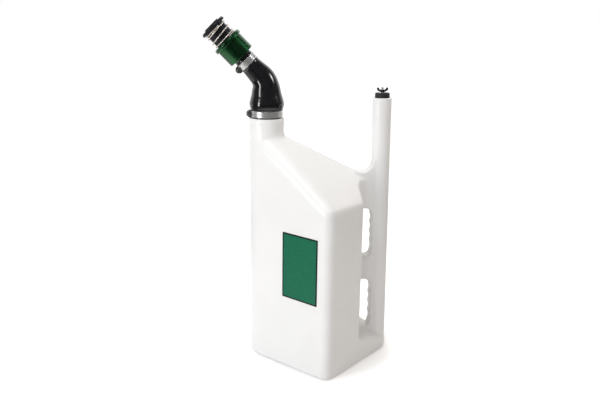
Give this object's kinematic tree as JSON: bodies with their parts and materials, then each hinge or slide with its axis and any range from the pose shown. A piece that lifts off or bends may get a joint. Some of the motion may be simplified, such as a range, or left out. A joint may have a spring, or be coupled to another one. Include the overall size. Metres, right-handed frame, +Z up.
{
  "type": "quick-fill fuel jug",
  "caption": "Square blow-moulded fuel jug with a hollow vent handle, slanted elbow hose, spring-loaded filler nozzle and expanding vent plug.",
  "frame": {"origin": "middle of the base's underside, on the floor", "axes": "+X along the footprint's diagonal from the neck to the vent handle, +Y to the far side corner, +Z up"},
  "size_m": [0.3874, 0.3188, 0.7062],
  "materials": {
    "jug_body": "satin natural white polyethylene",
    "label": "printed film, green with a thin dark edge",
    "hose": "glossy black silicone",
    "band_steel": "rolled stainless strip",
    "screw_steel": "machined stainless",
    "green_collar": "green anodised aluminium",
    "black_metal": "black anodised aluminium",
    "black_rubber": "matt black rubber",
    "spring_steel": "bright spring wire"
  },
  "bodies": {
    "jug": {"jug_body": "jug_body", "front_label": "label", "elbow_hose": "hose", "lower_clamp_band": "band_steel", "lower_clamp_housing": "band_steel", "upper_clamp_band": "band_steel", "upper_clamp_housing": "band_steel", "nozzle_collar": "green_collar", "gland_ring": "black_metal", "gland_seal": "black_rubber", "valve_head": "black_metal", "valve_seal": "black_rubber", "valve_stem": "screw_steel", "stem_spider": "screw_steel", "stem_nut": "screw_steel", "return_spring": "spring_steel"},
    "sleeve": {"slide_sleeve": "black_metal", "tip_ring": "black_metal"},
    "lower_screw": {"lower_clamp_screw": "screw_steel"},
    "upper_screw": {"upper_clamp_screw": "screw_steel"},
    "plug": {"vent_plug": "black_rubber", "plug_top_washer": "band_steel", "plug_stud": "screw_steel", "plug_bottom_washer": "band_steel"},
    "nut": {"wing_nut": "black_metal"}
  },
  "joints": [
    {"name": "sleeve_slide", "type": "slide", "parent": "jug", "child": "sleeve", "axis": [0.7071, 0, -0.7071], "range_m": [0, 0.02], "stiffness_N_per_m": 1500, "springref_m": -0.01, "deforming": ["return_spring"]},
    {"name": "lower_clamp_screw_turn", "type": "hinge", "parent": "jug", "child": "lower_screw", "pos_m": [-0.14693, 0, 0.5181], "axis": [0, -1, 0], "continuous": true},
    {"name": "upper_clamp_screw_turn", "type": "hinge", "parent": "jug", "child": "upper_screw", "pos_m": [-0.16712, 0, 0.60327], "axis": [0, -1, 0], "continuous": true},
    {"name": "vent_plug_pull", "type": "slide", "parent": "jug", "child": "plug", "axis": [-0.0136, 0, 0.9999], "range_m": [0, 0.05]},
    {"name": "wing_nut_turn", "type": "hinge", "parent": "plug", "child": "nut", "pos_m": [0.12487, 0, 0.56195], "axis": [-0.0136, 0, 0.9999], "range_deg": [0, 1080]}
  ]
}
